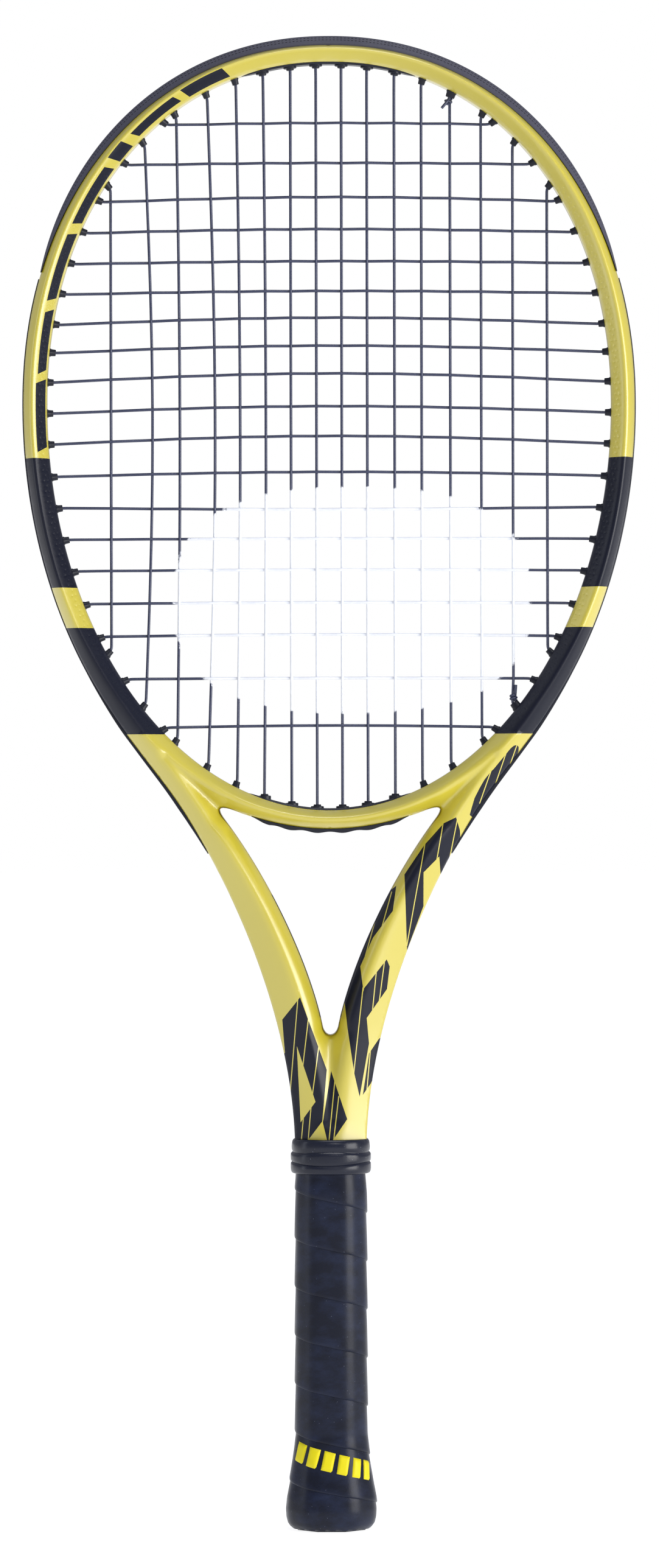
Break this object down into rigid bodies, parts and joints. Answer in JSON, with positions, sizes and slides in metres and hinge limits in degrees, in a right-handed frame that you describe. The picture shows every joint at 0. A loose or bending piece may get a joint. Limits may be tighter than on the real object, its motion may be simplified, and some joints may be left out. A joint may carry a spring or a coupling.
{
  "type": "tennis racket",
  "caption": "Strung junior tennis racket with an oval hoop, open throat, head bumper, continuous stringing, octagonal grip, sliding grip collar and butt cap with a trap door.",
  "frame": {"origin": "centre of the flat butt end, at the bottom of the handle", "axes": "+Z along the racket from the butt to the tip, +X across the head, +Y from the front face to the back face"},
  "size_m": [0.2714, 0.0372, 0.6604],
  "materials": {
    "frame_paint": "satin yellow lacquer with gloss dark bands over a composite tube",
    "bumper_plastic": "matt dark grey nylon",
    "grommet_plastic": "smooth black nylon",
    "string_coating": "smooth dark slate synthetic string with a soft shine",
    "pallet_foam": "rigid moulded foam",
    "cap_plastic": "moulded black plastic",
    "staple_steel": "plain steel wire",
    "grip_skin": "matt charcoal synthetic leather, smooth and slightly tacky",
    "tape_film": "black vinyl tape",
    "collar_rubber": "satin dark navy rubber"
  },
  "bodies": {
    "racket": {"frame": "frame_paint", "head_bumper": "bumper_plastic", "side_grommet_strip_left": "grommet_plastic", "side_grommet_strip_right": "grommet_plastic", "throat_grommet_strip": "grommet_plastic", "corner_grommet_left_1": "grommet_plastic", "corner_grommet_left_2": "grommet_plastic", "corner_grommet_left_3": "grommet_plastic", "corner_grommet_right_1": "grommet_plastic", "corner_grommet_right_2": "grommet_plastic", "corner_grommet_right_3": "grommet_plastic", "string": "string_coating", "handle_pallet": "pallet_foam", "butt_cap": "cap_plastic", "butt_cap_staple_left": "staple_steel", "butt_cap_staple_right": "staple_steel", "base_grip": "grip_skin", "grip_finishing_tape": "tape_film"},
    "collar": {"grip_collar": "collar_rubber"},
    "butt_door": {"butt_cap_door": "cap_plastic"}
  },
  "joints": [
    {"name": "collar_slide", "type": "slide", "parent": "racket", "child": "collar", "axis": [0, 0, 1], "range_m": [0, 0.008]},
    {"name": "butt_door_pull", "type": "slide", "parent": "racket", "child": "butt_door", "axis": [0, 0, -1], "range_m": [0, 0.02]}
  ]
}
